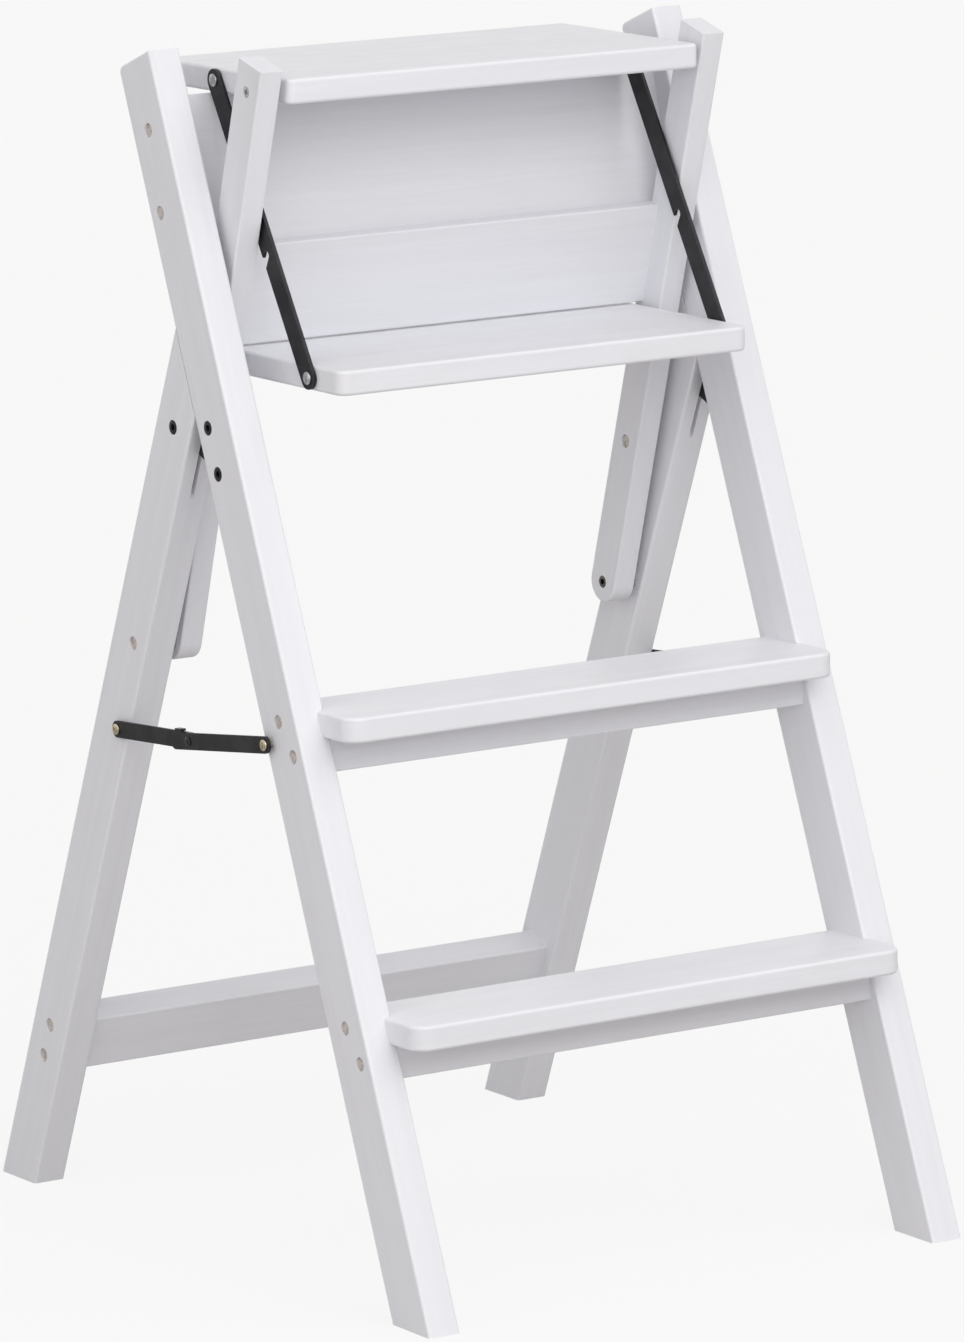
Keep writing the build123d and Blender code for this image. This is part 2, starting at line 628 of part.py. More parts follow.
def stay_screw(centre, inner, outer):
    """Make a shouldered stay screw: shank in the rail, shoulder under the bar, head over it."""
    shank = rod(centre, STAY_SCREW_RADIUS, rail_outer - STAY_SCREW_BITE, outer + STAY_LAYER_GAP)
    shoulder = rod(centre, STAY_SHOULDER_RADIUS, rail_outer, inner - STAY_LAYER_GAP)
    head_low = outer + STAY_LAYER_GAP
    return shank + shoulder + rod(centre, STAY_HEAD_RADIUS, head_low, head_low + STAY_HEAD_HEIGHT)


def arm_pivot_bolt():
    """Make the bolt on which an arm swings, through the rear leg and the arm."""
    head_end = rail_outer - PLUG_RECESS - PLUG_DEPTH
    return mirrored(socket_rod(arm_pivot, ARM_PIVOT_RADIUS, -head_end, -arm_inner))


def arm_spacer():
    """Make the spacer between a rear leg and an arm, round the arm's bolt."""
    ring = rod(arm_pivot, SPACER_RADIUS, arm_outer + SPACER_GAP, rail_inner)
    return ring - rod(arm_pivot, ARM_PIVOT_RADIUS + HOLE_GAP, arm_outer + SPACER_GAP, rail_inner)


right_hand = {
    "front_rail": front_rail(),
    "hinge_plate": hinge_plate(),
    "rear_leg": rear_leg(),
    "arm": arm(),
    "link": link(),
    "stay_front_bar": stay_front_bar(),
    "stay_rear_bar": stay_rear_bar(),
}

single = {
    "tread_lower": tread(TREAD_TOPS[0]),
    "tread_upper": tread(TREAD_TOPS[1]),
    "apron_lower": apron(TREAD_TOPS[0]),
    "apron_upper": apron(TREAD_TOPS[1]),
    "upper_panel": upper_panel(),
    "rear_crossbar": rear_crossbar(),
    "lower_panel": lower_panel(),
    "platform": platform(),
    "upper_step": upper_step(),
}

fasteners = {
    "hinge_plate_bolts": [
        socket_rod(point, HINGE_BOLT_RADIUS, hinge_bolt_end, rail_outer) for point in hinge_bolt_points
    ],
    "hinge_pivot_bolts": [socket_rod(hinge_pivot, HINGE_BOLT_RADIUS, hinge_bolt_end, rail_outer)],
    "front_frame_screws": [screw(point, rail_outer, rail_inner) for point in front_screw_points],
    "front_frame_plugs": [plug(point, rail_outer) for point in front_screw_points],
    "crossbar_screws": [screw(point, rail_outer, rail_inner) for point in crossbar_screw_points],
    "rear_leg_plugs": [plug(point, rail_outer) for point in [*crossbar_screw_points, arm_pivot]],
    "arm_pivot_bolts": [arm_pivot_bolt()],
    "arm_spacers": [arm_spacer()],
    "arm_plugs": [mirrored(plug(arm_plug_point, -arm_inner))],
    "lower_panel_screws": [lower_panel_screw(point) for point in lower_panel_screw_points],
    "platform_pivot_screws": [pivot_screw(platform_pivot)],
    "step_pivot_screws": [pivot_screw(step_pivot)],
    "link_upper_screws": [link_upper_screw()],
    "link_lower_screws": [link_lower_screw()],
    "stay_front_screws": [stay_screw(stay_front_pivot, stay_front_inner, stay_front_outer)],
    "stay_rear_screws": [stay_screw(stay_rear_pivot, stay_rear_inner, stay_rear_outer)],
    "stay_rivet_heads": [
        rod(stay_centre, RIVET_RADIUS, stay_front_outer, stay_front_outer + STAY_HEAD_HEIGHT)
    ],
    "stay_rivet_tails": [
        rod(stay_centre, RIVET_RADIUS, stay_rear_inner - RIVET_TAIL_HEIGHT, stay_rear_inner)
    ],
}

nodes = dict(single)
for name, solid in right_hand.items():
    nodes[name + "_right"] = solid
    nodes[name + "_left"] = mirrored(solid)
for name, solids in fasteners.items():
    nodes[name] = Compound(both_sides(solids))

os.makedirs("parts", exist_ok=True)
for name, shape in nodes.items():
    export_step(shape, os.path.join("parts", name + ".step"))
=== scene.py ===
import logging
import math
from dataclasses import dataclass, field, replace
from enum import Enum
from typing import Dict, Iterable, List, Sequence, Tuple

import bmesh
import bpy
from mathutils import Matrix, Vector

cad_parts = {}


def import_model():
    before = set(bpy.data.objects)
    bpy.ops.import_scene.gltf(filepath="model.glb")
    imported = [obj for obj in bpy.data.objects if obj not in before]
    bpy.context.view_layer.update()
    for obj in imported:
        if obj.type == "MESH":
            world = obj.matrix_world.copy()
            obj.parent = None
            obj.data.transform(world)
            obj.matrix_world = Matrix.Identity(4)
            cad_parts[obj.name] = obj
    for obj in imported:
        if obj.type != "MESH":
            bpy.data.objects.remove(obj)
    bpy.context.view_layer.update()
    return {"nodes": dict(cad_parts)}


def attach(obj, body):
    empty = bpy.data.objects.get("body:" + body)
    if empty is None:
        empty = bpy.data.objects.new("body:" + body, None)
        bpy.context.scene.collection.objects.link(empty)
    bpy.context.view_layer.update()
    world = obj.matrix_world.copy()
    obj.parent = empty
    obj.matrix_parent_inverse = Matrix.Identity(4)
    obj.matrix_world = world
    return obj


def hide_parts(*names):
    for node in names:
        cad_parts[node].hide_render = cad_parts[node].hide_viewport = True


LOG = logging.getLogger("step_ladder")
MILLIMETRE = 0.001

Colour = Tuple[float, float, float]
Place = Tuple[float, float, float]
Point = Tuple[float, float]
Span = Tuple[float, float]

# Where most values of a noise texture lie
NOISE_SPAN: Span = (0.3, 0.7)


class Grain(Enum):
    """Direction of the wood grain, as the lean in degrees of a piece from upright, or across the ladder."""

    ACROSS = "across"
    FRONT_RAIL = 21.55
    REAR_LEG = -21.9
    ARM = -15.89


class Recess(Enum):
    """Shape of the driver recess in a fastener's head."""

    NONE = 0
    CROSS = 1
    HEXAGON = 2


class Sockets(Enum):
    """Socket types of the node groups."""

    VECTOR = "NodeSocketVector"
    VALUE = "NodeSocketFloat"
    SHAPE = "NodeSocketGeometry"
    OBJECT = "NodeSocketObject"
    MATERIAL = "NodeSocketMaterial"
    WHOLE = "NodeSocketInt"


class Wires:
    """A node tree with short calls to add and join nodes."""

    def __init__(self, tree: bpy.types.NodeTree) -> None:
        """Hold a node tree."""
        self.tree = tree

    def add(self, kind: str, **settings: object) -> bpy.types.Node:
        """Add a node.

        Args:
            kind: The node's type name.
            settings: Properties to set on the node.

        Returns:
            The new node.
        """
        node = self.tree.nodes.new(kind)
        for name, value in settings.items():
            setattr(node, name, value)
        return node

    def join(self, start: object, end: object) -> None:
        """Link an output socket to an input socket."""
        self.tree.links.new(start, end)

    def put(self, socket: bpy.types.NodeSocket, value: object) -> None:
        """Link an input from another socket, or set it to a plain value.

        Args:
            socket: The input.
            value: A socket to link from, or a number, vector, colour or item.
        """
        if isinstance(value, bpy.types.NodeSocket):
            self.join(value, socket)
        elif socket.type == "RGBA":
            socket.default_value = (*value, 1.0)
        else:
            socket.default_value = value

    def feed(self, node: bpy.types.Node, **inputs: object) -> bpy.types.Node:
        """Set or link a node's inputs by name, with underscores for spaces.

        Args:
            node: The node whose inputs are fed.
            inputs: A socket to link from, or a plain value, for each input.

        Returns:
            The same node.
        """
        for name, value in inputs.items():
            self.put(node.inputs[name.replace("_", " ")], value)
        return node

    def math(self, operation: str, first: object, second: object = 0.0) -> bpy.types.NodeSocket:
        """Add a math node.

        Args:
            operation: The node's operation, such as MULTIPLY.
            first: A socket or a number.
            second: A socket or a number.

        Returns:
            The node's value output.
        """
        node = self.add("ShaderNodeMath", operation=operation)
        for socket, value in zip(node.inputs, (first, second)):
            self.put(socket, value)
        return node.outputs["Value"]

    def span(
        self, value: object, low: float, high: float, to_low: float, to_high: float
    ) -> bpy.types.NodeSocket:
        """Map a value from one span to another, held inside it.

        Args:
            value: The socket to map.
            low: The span's start.
            high: The span's end.
            to_low: The result at the start.
            to_high: The result at the end.

        Returns:
            The mapped value.
        """
        node = self.add("ShaderNodeMapRange", clamp=True)
        self.feed(node, Value=value, From_Min=low, From_Max=high, To_Min=to_low, To_Max=to_high)
        return node.outputs["Result"]

    def tint(self, share: object, first: object, second: object) -> bpy.types.NodeSocket:
        """Mix two colours.

        Args:
            share: A socket or number, 0 for the first colour and 1 for the second.
            first: A socket or colour.
            second: A socket or colour.

        Returns:
            The mixed colour.
        """
        node = self.add("ShaderNodeMix", data_type="RGBA")
        colour_inputs = [socket for socket in node.inputs if socket.type == "RGBA"]
        for socket, value in ((node.inputs["Factor"], share), *zip(colour_inputs, (first, second))):
            self.put(socket, value)
        return next(socket for socket in node.outputs if socket.type == "RGBA")

    def blend(self, mask: object, amount: float, first: object, second: object) -> bpy.types.NodeSocket:
        """Mix two colours by an amount of a mask."""
        return self.tint(self.math("MULTIPLY", mask, amount), first, second)

    def noise(self, **inputs: object) -> bpy.types.NodeSocket:
        """Add a noise texture, feed its inputs and give its value."""
        return self.feed(self.add("ShaderNodeTexNoise"), **inputs).outputs["Fac"]

    def bump(self, height: bpy.types.NodeSocket, strength: float, depth: float) -> bpy.types.NodeSocket:
        """Add a bump node.

        Args:
            height: The relief.
            strength: The share of the relief that shows.
            depth: The depth of the relief in millimetres.

        Returns:
            The node's normal.
        """
        node = self.add("ShaderNodeBump")
        self.feed(node, Strength=strength, Distance=depth * MILLIMETRE, Height=height)
        return node.outputs["Normal"]

    def group(self, tree: bpy.types.NodeTree, **inputs: object) -> bpy.types.Node:
        """Place a shader node group and feed its inputs."""
        return self.feed(self.add("ShaderNodeGroup", node_tree=tree), **inputs)


def new_group(
    name: str, kind: str, inputs: Dict[str, Sockets], outputs: Dict[str, Sockets]
) -> Tuple[Wires, bpy.types.Node, bpy.types.Node]:
    """Make an empty node group with named sockets.

    Args:
        name: The group's name.
        kind: The tree type.
        inputs: Input names with their socket types.
        outputs: Output names with their socket types.

    Returns:
        The group's wires, its input node and its output node.
    """
    tree = bpy.data.node_groups.new(name, kind)
    for socket_name, socket in inputs.items():
        tree.interface.new_socket(socket_name, in_out="INPUT", socket_type=socket.value)
    for socket_name, socket in outputs.items():
        tree.interface.new_socket(socket_name, in_out="OUTPUT", socket_type=socket.value)
    wires = Wires(tree)
    return wires, wires.add("NodeGroupInput"), wires.add("NodeGroupOutput")


@dataclass
class SurfaceEffects:
    """Shader node groups that the finishes share."""

    edge_turn: Span = (0.99, 0.8)
    edge_breaks: Span = (0.35, 0.65)
    least_edge: float = 0.25
    fine_lines: Span = (0.4, 0.66)
    broad_scale: float = 0.16
    slow_scale: float = 0.04
    smudge_fade: float = 0.2
    # Edge mask: real rubbed wear on the coated steel, painted highlight on the painted wood
    edge_wear_and_highlight: bpy.types.NodeTree = field(init=False)
    wood_grain: bpy.types.NodeTree = field(init=False)
    brushed_skin: bpy.types.NodeTree = field(init=False)
    smudge: bpy.types.NodeTree = field(init=False)

    def __post_init__(self) -> None:
        """Build every group once."""
        self.edge_wear_and_highlight = self._edge_wear_and_highlight()
        self.wood_grain = self._wood_grain()
        self.brushed_skin = self._brushed_skin()
        self.smudge = self._smudge()

    def _edge_wear_and_highlight(self) -> bpy.types.NodeTree:
        """Build a mask along sharp edges, broken up by noise: wear on steel, a painted highlight on wood.

        Returns:
            The node group.
        """
        wires, start, end = new_group(
            "edge_wear_and_highlight",
            "ShaderNodeTree",
            {"Vector": Sockets.VECTOR, "Width": Sockets.VALUE, "Scale": Sockets.VALUE},
            {"Mask": Sockets.VALUE},
        )
        bevel = wires.feed(wires.add("ShaderNodeBevel", samples=4), Radius=start.outputs["Width"])
        surface = wires.add("ShaderNodeNewGeometry")
        turned = wires.add("ShaderNodeVectorMath", operation="DOT_PRODUCT")
        wires.join(bevel.outputs["Normal"], turned.inputs[0])
        wires.join(surface.outputs["Normal"], turned.inputs[1])
        edge = wires.span(turned.outputs["Value"], *self.edge_turn, 0.0, 1.0)
        noise = wires.noise(Vector=start.outputs["Vector"], Scale=start.outputs["Scale"], Detail=5.0)
        breakup = wires.span(noise, *self.edge_breaks, self.least_edge, 1.0)
        wires.join(wires.math("MULTIPLY", edge, breakup), end.inputs["Mask"])
        return wires.tree

    def _wood_grain(self) -> bpy.types.NodeTree:
        """Build grain lines along the local Z of the vector, under a skin of paint.

        Returns:
            The node group.
        """
        wires, start, end = new_group(
            "wood_grain",
            "ShaderNodeTree",
            {"Vector": Sockets.VECTOR, "Scale": Sockets.VALUE, "Stretch": Sockets.VALUE},
            {"Lines": Sockets.VALUE, "Tone": Sockets.VALUE},
        )
        along = wires.math("DIVIDE", start.outputs["Scale"], start.outputs["Stretch"])
        scale = wires.add("ShaderNodeCombineXYZ")
        wires.feed(scale, X=start.outputs["Scale"], Y=start.outputs["Scale"], Z=along)
        stretched = wires.add("ShaderNodeVectorMath", operation="MULTIPLY")
        wires.join(start.outputs["Vector"], stretched.inputs[0])
        wires.join(scale.outputs["Vector"], stretched.inputs[1])
        along_grain = stretched.outputs["Vector"]
        fine = wires.noise(Vector=along_grain, Scale=1.0, Detail=6.0, Roughness=0.62)
        broad = wires.noise(Vector=along_grain, Scale=self.broad_scale, Detail=3.0, Distortion=0.8)
        wires.join(wires.span(fine, *self.fine_lines, 0.0, 1.0), end.inputs["Lines"])
        wires.join(wires.span(broad, *NOISE_SPAN, 0.0, 1.0), end.inputs["Tone"])
        return wires.tree

    def _brushed_skin(self) -> bpy.types.NodeTree:
        """Build the fine relief and gloss changes of a sprayed or brushed coat.

        Returns:
            The node group.
        """
        wires, start, end = new_group(
            "brushed_skin",
            "ShaderNodeTree",
            {"Vector": Sockets.VECTOR, "Scale": Sockets.VALUE},
            {"Height": Sockets.VALUE, "Gloss": Sockets.VALUE},
        )
        peel = wires.noise(Vector=start.outputs["Vector"], Scale=start.outputs["Scale"], Detail=2.0)
        slow_scale = wires.math("MULTIPLY", start.outputs["Scale"], self.slow_scale)
        slow = wires.noise(Vector=start.outputs["Vector"], Scale=slow_scale, Detail=4.0)
        wires.join(peel, end.inputs["Height"])
        wires.join(slow, end.inputs["Gloss"])
        return wires.tree

    def _smudge(self) -> bpy.types.NodeTree:
        """Build soft blotches of handling marks.

        Returns:
            The node group.
        """
        wires, start, end = new_group(
            "smudge",
            "ShaderNodeTree",
            {"Vector": Sockets.VECTOR, "Scale": Sockets.VALUE, "Threshold": Sockets.VALUE},
            {"Mask": Sockets.VALUE},
        )
        noise = wires.noise(
            Vector=start.outputs["Vector"],
            Scale=start.outputs["Scale"],
            Detail=7.0,
            Roughness=0.55,
            Distortion=0.4,
        )
        over = wires.math("SUBTRACT", noise, start.outputs["Threshold"])
        wires.join(wires.span(over, 0.0, self.smudge_fade, 0.0, 1.0), end.inputs["Mask"])
        return wires.tree


def new_material(name: str) -> Tuple[bpy.types.Material, Wires, bpy.types.Node, bpy.types.NodeSocket]:
    """Make an empty material with a shader and object coordinates.

    Args:
        name: The material's name.

    Returns:
        The material, its wires, its Principled shader and its coordinate socket.
    """
    material = bpy.data.materials.new(name)
    material.use_nodes = True
    material.node_tree.nodes.clear()
    wires = Wires(material.node_tree)
    shader = wires.add("ShaderNodeBsdfPrincipled")
    wires.join(shader.outputs["BSDF"], wires.add("ShaderNodeOutputMaterial").inputs["Surface"])
    coordinates = wires.add("ShaderNodeTexCoord").outputs["Object"]
    return material, wires, shader, coordinates


@dataclass(frozen=True)
class PaintedWood:
    """White satin paint over close-grained wood with the grain showing faintly; painted highlight on arrises.
    """

    name: str
    grain: Grain
    colour: Colour = (0.795, 0.80, 0.838)
    shade: Colour = (0.705, 0.704, 0.732)
    # Painted highlight: a near-white colour laid along the rounded arrises in place of light catching the
    # edges
    painted_arris_highlight: Colour = (0.92, 0.92, 0.93)
    mark: Colour = (0.68, 0.655, 0.62)
    tone_amount: float = 0.35
    line_amount: float = 0.17
    mark_amount: float = 0.10
    arris_highlight_amount: float = 0.7
    grain_scale: float = 420.0
    grain_stretch: float = 26.0
    skin_scale: float = 900.0
    arris_width: float = 1.6
    arris_scale: float = 60.0
    mark_scale: float = 9.0
    mark_threshold: float = 0.55
    roughness: Span = (0.36, 0.5)
    line_relief: float = 0.75
    skin_relief: float = 0.25
    bump_strength: float = 0.22
    bump_depth: float = 0.25

    def build(self, effects: SurfaceEffects) -> bpy.types.Material:
        """Build the material.

        Args:
            effects: The shared node groups.

        Returns:
            The finished material.
        """
        material, wires, shader, place = new_material(self.name)
        turned = wires.add("ShaderNodeMapping", vector_type="TEXTURE")
        wires.feed(turned, Vector=place, Rotation=self._turn())
        grain = wires.group(
            effects.wood_grain,
            Vector=turned.outputs["Vector"],
            Scale=self.grain_scale,
            Stretch=self.grain_stretch,
        )
        skin = wires.group(effects.brushed_skin, Vector=place, Scale=self.skin_scale)
        arris_width = self.arris_width * MILLIMETRE
        edge = wires.group(effects.edge_wear_and_highlight, Vector=place, Width=arris_width, Scale=self.arris_scale)
        marks = wires.group(
            effects.smudge, Vector=place, Scale=self.mark_scale, Threshold=self.mark_threshold
        )
        toned = wires.blend(grain.outputs["Tone"], self.tone_amount, self.colour, self.shade)
        lined = wires.blend(grain.outputs["Lines"], self.line_amount, toned, self.shade)
        marked = wires.blend(marks.outputs["Mask"], self.mark_amount, lined, self.mark)
        # Painted highlight: lighten the paint along the arrises
        with_arris_highlight = wires.blend(edge.outputs["Mask"], self.arris_highlight_amount, marked, self.painted_arris_highlight)
        rough = wires.span(skin.outputs["Gloss"], *NOISE_SPAN, *self.roughness)
        lines = wires.math("MULTIPLY", grain.outputs["Lines"], self.line_relief)
        peel = wires.math("MULTIPLY", skin.outputs["Height"], self.skin_relief)
        normal = wires.bump(wires.math("ADD", lines, peel), self.bump_strength, self.bump_depth)
        wires.feed(shader, Base_Color=with_arris_highlight, Roughness=rough, Normal=normal)
        return material

    def _turn(self) -> Place:
        """Give the turn that lays the pattern's Z along the grain.

        Returns:
            The turns about X, Y and Z.
        """
        if self.grain is Grain.ACROSS:
            return (0.0, math.pi / 2, 0.0)
        return (-math.radians(self.grain.value), 0.0, 0.0)


@dataclass(frozen=True)
class PaintedPlug:
    """End-grain plug under paint, a little darker and warmer than the rails."""

    name: str
    colour: Colour = (0.60, 0.55, 0.51)
    shade: Colour = (0.36, 0.31, 0.28)
    skin_scale: float = 700.0
    mark_scale: float = 260.0
    mark_threshold: float = 0.45
    roughness: Span = (0.5, 0.7)
    bump_strength: float = 0.4
    bump_depth: float = 0.2

    def build(self, effects: SurfaceEffects) -> bpy.types.Material:
        """Build the material.

        Args:
            effects: The shared node groups.

        Returns:
            The finished material.
        """
        material, wires, shader, place = new_material(self.name)
        skin = wires.group(effects.brushed_skin, Vector=place, Scale=self.skin_scale)
        marks = wires.group(
            effects.smudge, Vector=place, Scale=self.mark_scale, Threshold=self.mark_threshold
        )
        colour = wires.tint(marks.outputs["Mask"], self.colour, self.shade)
        rough = wires.span(skin.outputs["Gloss"], *NOISE_SPAN, *self.roughness)
        normal = wires.bump(skin.outputs["Height"], self.bump_strength, self.bump_depth)
        wires.feed(shader, Base_Color=colour, Roughness=rough, Normal=normal)
        return material


@dataclass(frozen=True)
class CoatedSteel:
    """Black satin powder coat on flat steel, rubbed grey along its edges."""

    name: str
    colour: Colour = (0.008, 0.008, 0.010)
    dusty: Colour = (0.020, 0.020, 0.023)
    rubbed: Colour = (0.09, 0.09, 0.095)
    shine: float = 0.28
    rubbed_amount: float = 0.6
    skin_scale: float = 1500.0
    edge_width: float = 0.7
    edge_scale: float = 220.0
    dust_scale: float = 40.0
    dust_threshold: float = 0.42
    roughness: Span = (0.30, 0.46)
    bump_strength: float = 0.25
    bump_depth: float = 0.1

    def build(self, effects: SurfaceEffects) -> bpy.types.Material:
        """Build the material.

        Args:
            effects: The shared node groups.

        Returns:
            The finished material.
        """
        material, wires, shader, place = new_material(self.name)
        skin = wires.group(effects.brushed_skin, Vector=place, Scale=self.skin_scale)
        edge_width = self.edge_width * MILLIMETRE
        edge = wires.group(effects.edge_wear_and_highlight, Vector=place, Width=edge_width, Scale=self.edge_scale)
        dust = wires.group(
            effects.smudge, Vector=place, Scale=self.dust_scale, Threshold=self.dust_threshold
        )
        coated = wires.tint(dust.outputs["Mask"], self.colour, self.dusty)
        worn = wires.blend(edge.outputs["Mask"], self.rubbed_amount, coated, self.rubbed)
        rough = wires.span(skin.outputs["Gloss"], *NOISE_SPAN, *self.roughness)
        normal = wires.bump(skin.outputs["Height"], self.bump_strength, self.bump_depth)
        wires.feed(shader, Base_Color=worn, Roughness=rough, Normal=normal)
        wires.feed(shader, Specular_IOR_Level=self.shine)
        return material


@dataclass(frozen=True)
class PlatedMetal:
    """Plated screw metal with fine scratches and dulled blotches."""

    name: str
    colour: Colour
    dull: Colour
    roughness: Span = (0.24, 0.46)
    skin_scale: float = 2600.0
    dull_scale: float = 300.0
    dull_threshold: float = 0.44
    bump_strength: float = 0.2
    bump_depth: float = 0.05

    def build(self, effects: SurfaceEffects) -> bpy.types.Material:
        """Build the material.

        Args:
            effects: The shared node groups.

        Returns:
            The finished material.
        """
        material, wires, shader, place = new_material(self.name)
        skin = wires.group(effects.brushed_skin, Vector=place, Scale=self.skin_scale)
        blotch = wires.group(
            effects.smudge, Vector=place, Scale=self.dull_scale, Threshold=self.dull_threshold
        )
        colour = wires.tint(blotch.outputs["Mask"], self.colour, self.dull)
        rough = wires.span(blotch.outputs["Mask"], 0.0, 1.0, *self.roughness)
        normal = wires.bump(skin.outputs["Height"], self.bump_strength, self.bump_depth)
        wires.feed(shader, Base_Color=colour, Roughness=rough, Metallic=1.0, Normal=normal)
        return material


@dataclass
class Finishes:
    """Every finish of the ladder, built once."""

    effects: SurfaceEffects
    made: Dict[str, bpy.types.Material] = field(default_factory=dict)

    def get(self, finish: object) -> bpy.types.Material:
        """Give a finish's material, building it the first time.

        Args:
            finish: A finish with a name and a build method.

        Returns:
            The material.
        """
        if finish.name not in self.made:
            self.made[finish.name] = finish.build(self.effects)
        return self.made[finish.name]


RAIL_PAINT = PaintedWood("paint_front_rail", Grain.FRONT_RAIL)
LEG_PAINT = PaintedWood("paint_rear_leg", Grain.REAR_LEG)
ARM_PAINT = PaintedWood("paint_arm", Grain.ARM)
TREAD_PAINT = PaintedWood("paint_tread", Grain.ACROSS, mark_amount=0.22)
PANEL_PAINT = PaintedWood("paint_panel", Grain.ACROSS)
PLUG_PAINT = PaintedPlug("paint_plug")
BLACK_STEEL = CoatedSteel("black_coated_steel")
BLACK_BOLT = CoatedSteel("black_bolt", colour=(0.006, 0.006, 0.008), dusty=(0.014, 0.014, 0.017))
DARK_ZINC = PlatedMetal("dark_zinc_plate", (0.16, 0.155, 0.145), (0.06, 0.058, 0.055))
ZINC = PlatedMetal("zinc_plate", (0.62, 0.62, 0.63), (0.40, 0.40, 0.41))
YELLOW_ZINC = PlatedMetal("yellow_zinc_plate", (0.62, 0.55, 0.40), (0.42, 0.37, 0.28))


@dataclass(frozen=True)
class Seat:
    """One fastener's place: the middle of its outer end, and the way that end faces along X."""

    place: Vector
    facing: float


def solid_boxes(node: bpy.types.Object) -> List[Tuple[Vector, Vector]]:
    """Find the box of every separate solid in a node.

    Args:
        node: A node whose mesh is loose triangles.

    Returns:
        The lowest and highest corner of each solid.
    """
    places = [tuple(round(value, 6) for value in vertex.co) for vertex in node.data.vertices]
    leader = {place: place for place in places}

    def find(place: Tuple[float, ...]) -> Tuple[float, ...]:
        """Follow a corner to the one that leads its solid.

        Args:
            place: The corner.

        Returns:
            The leading corner.
        """
        while leader[place] != place:
            leader[place] = leader[leader[place]]
            place = leader[place]
        return place

    for polygon in node.data.polygons:
        first, *others = (places[index] for index in polygon.vertices)
        for other in others:
            leader[find(other)] = find(first)
    solids: Dict[Tuple[float, ...], List[Tuple[float, ...]]] = {}
    for place in leader:
        solids.setdefault(find(place), []).append(place)
    ordered = sorted(solids.values(), key=min)
    return [(Vector(map(min, zip(*corners))), Vector(map(max, zip(*corners)))) for corners in ordered]


def outer_seats(node: bpy.types.Object, inward: bool = False) -> List[Seat]:
    """Give the seat of each solid in a fastener node, at its outer or inner end.

    Args:
        node: The fastener node.
        inward: True where the end that shows faces the middle of the ladder.

    Returns:
        One seat for each solid.
    """
    seats = []
    for low, high in solid_boxes(node):
        middle = (low + high) / 2
        side = math.copysign(1.0, middle.x)
        facing = -side if inward else side
        end = high.x if facing > 0 else low.x
        seats.append(Seat(Vector((end, middle.y, middle.z)), facing))
    return seats


def lathe(profile: Sequence[Point], sides: int) -> bmesh.types.BMesh:
    """Turn a profile about Z into a closed shape.

    Args:
        profile: Radius and height pairs from the lower axis point to the upper one.
        sides: How many sides the round has.

    Returns:
        The turned shape.
    """
    shape = bmesh.new()
    rings: List[List[bmesh.types.BMVert]] = []
    for radius, height in profile:
        if radius == 0.0:
            rings.append([shape.verts.new((0.0, 0.0, height))])
            continue
        angles = [2 * math.pi * index / sides for index in range(sides)]
        rings.append([shape.verts.new((radius * math.cos(a), radius * math.sin(a), height)) for a in angles])
    for lower, upper in zip(rings, rings[1:]):
        for index in range(sides):
            after = (index + 1) % sides
            corners = [lower[index % len(lower)], lower[after % len(lower)]]
            corners += [upper[after % len(upper)], upper[index % len(upper)]]
            distinct = list(dict.fromkeys(corners))
            shape.faces.new(distinct)
    bmesh.ops.recalc_face_normals(shape, faces=shape.faces)
    return shape


def prism(outline: Sequence[Point], low: float, high: float, draft: float) -> bmesh.types.BMesh:
    """Make a driver recess: an outline that narrows a little towards its floor.

    Args:
        outline: Corner points of the top.
        low: Height of the floor.
        high: Height of the top.
        draft: Size of the floor as a share of the top.

    Returns:
        The closed shape.
    """
    shape = bmesh.new()
    floor = [shape.verts.new((x * draft, y * draft, low)) for x, y in outline]
    top = [shape.verts.new((x, y, high)) for x, y in outline]
    shape.faces.new(list(reversed(floor)))
    shape.faces.new(top)
    for index in range(len(outline)):
        after = (index + 1) % len(outline)
        shape.faces.new([floor[index], floor[after], top[after], top[index]])
    bmesh.ops.recalc_face_normals(shape, faces=shape.faces)
    return shape


def as_object(name: str, shape: bmesh.types.BMesh) -> bpy.types.Object:
    """Put a shape into the scene as a mesh object.

    Args:
        name: The object's name.
        shape: The shape, which is freed.

    Returns:
        The new object.
    """
    mesh = bpy.data.meshes.new(name)
    shape.to_mesh(mesh)
    shape.free()
    item = bpy.data.objects.new(name, mesh)
    bpy.context.scene.collection.objects.link(item)
    return item


def evaluated_mesh(item: bpy.types.Object, name: str) -> bpy.types.Mesh:
    """Give a plain mesh of an object with its modifiers worked out.

    Args:
        item: The object.
        name: The mesh's name.

    Returns:
        The plain mesh.
    """
    bpy.context.view_layer.update()
    graph = bpy.context.evaluated_depsgraph_get()
    mesh = bpy.data.meshes.new_from_object(item.evaluated_get(graph), depsgraph=graph)
    mesh.name = name
    return mesh


def discard(item: bpy.types.Object) -> None:
    """Remove a helper object and its mesh.

    Args:
        item: The helper.
    """
    mesh = item.data
    bpy.data.objects.remove(item)
    bpy.data.meshes.remove(mesh)


